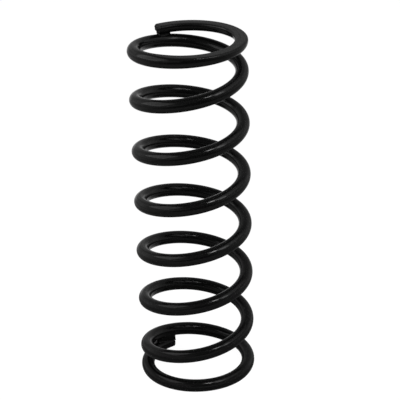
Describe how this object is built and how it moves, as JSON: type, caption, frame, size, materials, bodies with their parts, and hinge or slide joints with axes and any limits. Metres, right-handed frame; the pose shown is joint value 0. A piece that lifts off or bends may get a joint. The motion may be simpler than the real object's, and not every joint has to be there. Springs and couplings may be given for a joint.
{
  "type": "coil spring",
  "caption": "Right-hand wound steel compression spring for a coilover damper, with closed ends ground flat and a black powder coat.",
  "frame": {"origin": "on the coil's axis, at the middle of the lower ground face", "axes": "+Z along the coil's axis, from the lower seat to the upper one; the wire tips lie at the back left, seen along +Y"},
  "size_m": [0.0831, 0.083, 0.254],
  "materials": {
    "powder_coat": "semi-gloss black powder coat on spring steel"
  },
  "bodies": {
    "root": {"coil_spring": "powder_coat"}
  },
  "joints": []
}
